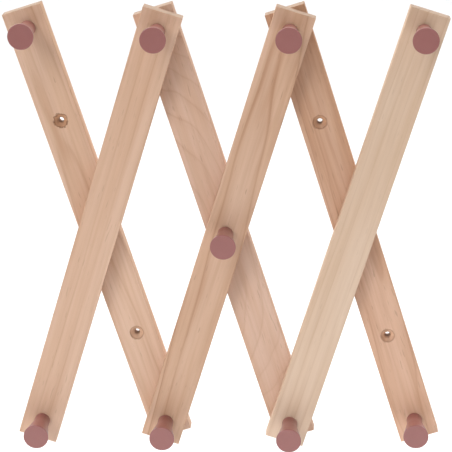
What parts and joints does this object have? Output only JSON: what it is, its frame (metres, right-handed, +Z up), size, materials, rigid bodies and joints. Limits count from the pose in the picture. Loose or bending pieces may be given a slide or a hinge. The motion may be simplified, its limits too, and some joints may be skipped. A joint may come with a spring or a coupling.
{
  "type": "expanding peg rack",
  "caption": "Expanding wooden wall rack: crossed pine slats pivot as a scissor lattice and carry painted turned pegs with flat round heads.",
  "frame": {"origin": "on the wall plane (the back face of the back slats), on the axis of the centre pivot", "axes": "+X to the right as seen from the room, +Y into the wall, +Z up; the pegs point along -Y"},
  "size_m": [0.3706, 0.0606, 0.3916],
  "materials": {
    "pine": "planed, clear matt",
    "peg_paint": "dusty mauve satin paint on turned wood",
    "screw_steel": "bright zinc plated",
    "washer_nylon": "natural nylon"
  },
  "bodies": {
    "centre_pivot": {"peg_centre": "peg_paint", "pivot_screw_centre": "screw_steel", "washer_centre": "washer_nylon"},
    "front_centre": {"front_slat_centre": "pine", "peg_top_3": "peg_paint", "pivot_screw_top_3": "screw_steel", "washer_top_3": "washer_nylon", "peg_bottom_2": "peg_paint", "pivot_screw_bottom_2": "screw_steel", "washer_bottom_2": "washer_nylon"},
    "back_centre": {"back_slat_centre": "pine"},
    "front_left": {"front_slat_left": "pine", "peg_top_2": "peg_paint", "pivot_screw_top_2": "screw_steel", "washer_top_2": "washer_nylon", "peg_bottom_1": "peg_paint", "peg_screw_bottom_1": "screw_steel", "crossing_screw_left": "screw_steel", "washer_left": "washer_nylon"},
    "front_right": {"front_slat_right": "pine", "peg_top_4": "peg_paint", "peg_screw_top_4": "screw_steel", "peg_bottom_3": "peg_paint", "pivot_screw_bottom_3": "screw_steel", "washer_bottom_3": "washer_nylon", "crossing_screw_right": "screw_steel", "washer_right": "washer_nylon"},
    "back_left": {"back_slat_left": "pine", "peg_top_1": "peg_paint", "peg_screw_top_1": "screw_steel"},
    "back_right": {"back_slat_right": "pine", "peg_bottom_4": "peg_paint", "peg_screw_bottom_4": "screw_steel"}
  },
  "joints": [
    {"name": "expand", "type": "hinge", "parent": "centre_pivot", "child": "front_centre", "pos_m": [0, 0, 0], "axis": [0, 1, 0], "range_deg": [-11.95, 67.15]},
    {"name": "back_centre_turn", "type": "hinge", "parent": "centre_pivot", "child": "back_centre", "pos_m": [0, 0, 0], "axis": [0, 1, 0], "range_deg": [-67.16, 11.96]},
    {"name": "top_2_pivot", "type": "hinge", "parent": "back_centre", "child": "front_left", "pos_m": [-0.05472, 0, 0.17463], "axis": [0, 1, 0], "range_deg": [-23.91, 134.31]},
    {"name": "bottom_3_pivot", "type": "hinge", "parent": "back_centre", "child": "front_right", "pos_m": [0.05472, 0, -0.17463], "axis": [0, 1, 0], "range_deg": [-23.91, 134.31]},
    {"name": "bottom_2_pivot", "type": "hinge", "parent": "front_centre", "child": "back_left", "pos_m": [-0.05472, 0, -0.17463], "axis": [0, 1, 0], "range_deg": [-134.31, 23.91]},
    {"name": "top_3_pivot", "type": "hinge", "parent": "front_centre", "child": "back_right", "pos_m": [0.05472, 0, 0.17463], "axis": [0, 1, 0], "range_deg": [-134.31, 23.91]}
  ],
  "couplings": [
    {"joint": "back_centre_turn", "follows": "expand", "ratio": -1},
    {"joint": "top_2_pivot", "follows": "expand", "ratio": 2},
    {"joint": "bottom_3_pivot", "follows": "expand", "ratio": 2},
    {"joint": "bottom_2_pivot", "follows": "expand", "ratio": -2},
    {"joint": "top_3_pivot", "follows": "expand", "ratio": -2}
  ]
}
